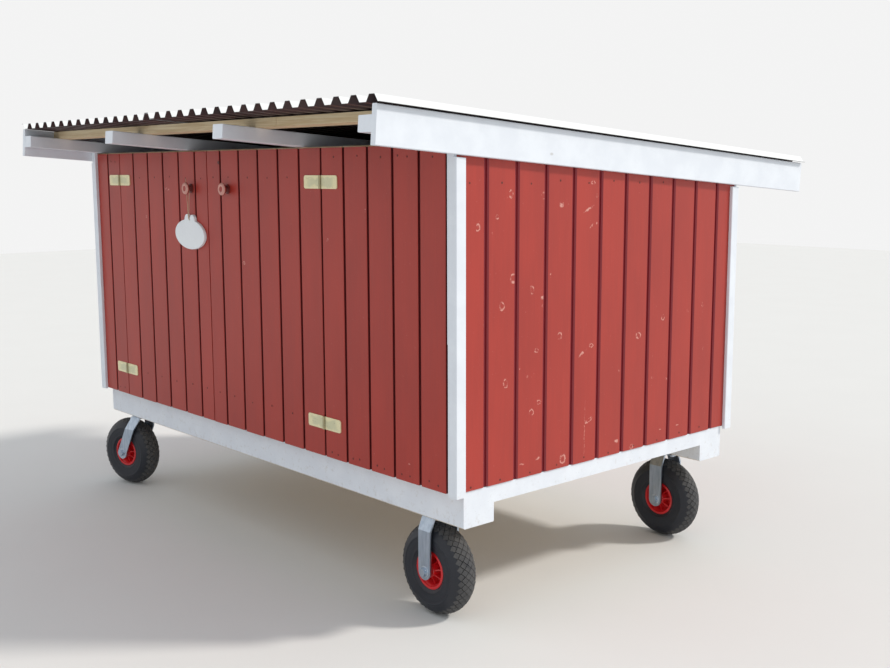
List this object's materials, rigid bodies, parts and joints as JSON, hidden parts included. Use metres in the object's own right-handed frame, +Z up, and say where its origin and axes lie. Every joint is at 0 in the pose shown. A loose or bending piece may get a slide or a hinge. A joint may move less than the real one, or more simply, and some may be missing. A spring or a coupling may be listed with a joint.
{
  "type": "small wheeled board hut with double doors",
  "caption": "Small red board-clad hut on pneumatic castors, with hinged double doors, white trim and a sloping corrugated roof.",
  "frame": {"origin": "middle of the whole outline in plan, castors included, on the ground under the tyres", "axes": "+X along the hut to the right as seen from the doors, +Y from the doors to the back, +Z up"},
  "size_m": [2.1403, 1.8351, 1.396],
  "materials": {
    "red_board": "opaque red exterior paint on boards",
    "white_paint": "white painted timber",
    "raw_timber": "unpainted planed softwood",
    "roof_sheet": "white on top, dark brown below",
    "brass": "dull brass",
    "zinc_steel": "bright zinc plate",
    "tyre": "black rubber",
    "rim_red": "red moulded plastic",
    "sign_white": "white painted, plain",
    "twine": "natural fibre"
  },
  "bodies": {
    "hut": {"front_beam": "white_paint", "rear_beam": "white_paint", "cross_members": "raw_timber", "floor_deck": "raw_timber", "wall_left": "red_board", "wall_right": "red_board", "wall_rear": "red_board", "front_panel_left": "red_board", "front_panel_right": "red_board", "corner_posts": "raw_timber", "door_posts": "raw_timber", "top_rails": "raw_timber", "corner_trims": "white_paint", "rafters": "white_paint", "battens": "raw_timber", "barge_board_left": "white_paint", "barge_board_right": "white_paint", "roof_sheet_left": "roof_sheet", "roof_sheet_right": "roof_sheet", "frame_hinges_left": "brass", "frame_hinges_right": "brass", "castor_plates_left": "zinc_steel", "fork_right_front": "zinc_steel", "fork_right_rear": "zinc_steel"},
    "left_door": {"door_left": "red_board", "door_left_ledges": "red_board", "door_left_hinges": "brass", "knob_left": "red_board", "sign_plaque": "sign_white", "sign_twine": "twine"},
    "right_door": {"door_right": "red_board", "door_right_ledges": "red_board", "door_right_hinges": "brass", "knob_right": "red_board"},
    "swivel_front": {"fork_left_front": "zinc_steel"},
    "swivel_rear": {"fork_left_rear": "zinc_steel"},
    "wheel_left_front": {"tyre_left_front": "tyre", "rim_left_front": "rim_red"},
    "wheel_left_rear": {"tyre_left_rear": "tyre", "rim_left_rear": "rim_red"},
    "wheel_right_front": {"tyre_right_front": "tyre", "rim_right_front": "rim_red"},
    "wheel_right_rear": {"tyre_right_rear": "tyre", "rim_right_rear": "rim_red"}
  },
  "joints": [
    {"name": "left_door_hinge", "type": "hinge", "parent": "hut", "child": "left_door", "pos_m": [-0.7973, -0.6525, 0.84], "axis": [0, 0, -1], "range_deg": [0, 120]},
    {"name": "right_door_hinge", "type": "hinge", "parent": "hut", "child": "right_door", "pos_m": [0.4642, -0.6525, 0.84], "axis": [0, 0, 1], "range_deg": [0, 145]},
    {"name": "swivel_front_turn", "type": "hinge", "parent": "hut", "child": "swivel_front", "pos_m": [-0.8823, -0.558, 0.28], "axis": [0, 0, 1], "continuous": true},
    {"name": "swivel_rear_turn", "type": "hinge", "parent": "hut", "child": "swivel_rear", "pos_m": [-0.8823, 0.463, 0.28], "axis": [0, 0, 1], "continuous": true},
    {"name": "wheel_left_front_spin", "type": "hinge", "parent": "swivel_front", "child": "wheel_left_front", "pos_m": [-0.94315, -0.57431, 0.13], "axis": [0.2588, -0.9659, 0], "continuous": true},
    {"name": "wheel_left_rear_spin", "type": "hinge", "parent": "swivel_rear", "child": "wheel_left_rear", "pos_m": [-0.94315, 0.47931, 0.13], "axis": [-0.2588, -0.9659, 0], "continuous": true},
    {"name": "wheel_right_front_spin", "type": "hinge", "parent": "hut", "child": "wheel_right_front", "pos_m": [0.8647, -0.558, 0.13], "axis": [0, -1, 0], "continuous": true},
    {"name": "wheel_right_rear_spin", "type": "hinge", "parent": "hut", "child": "wheel_right_rear", "pos_m": [0.8647, 0.463, 0.13], "axis": [0, -1, 0], "continuous": true}
  ]
}
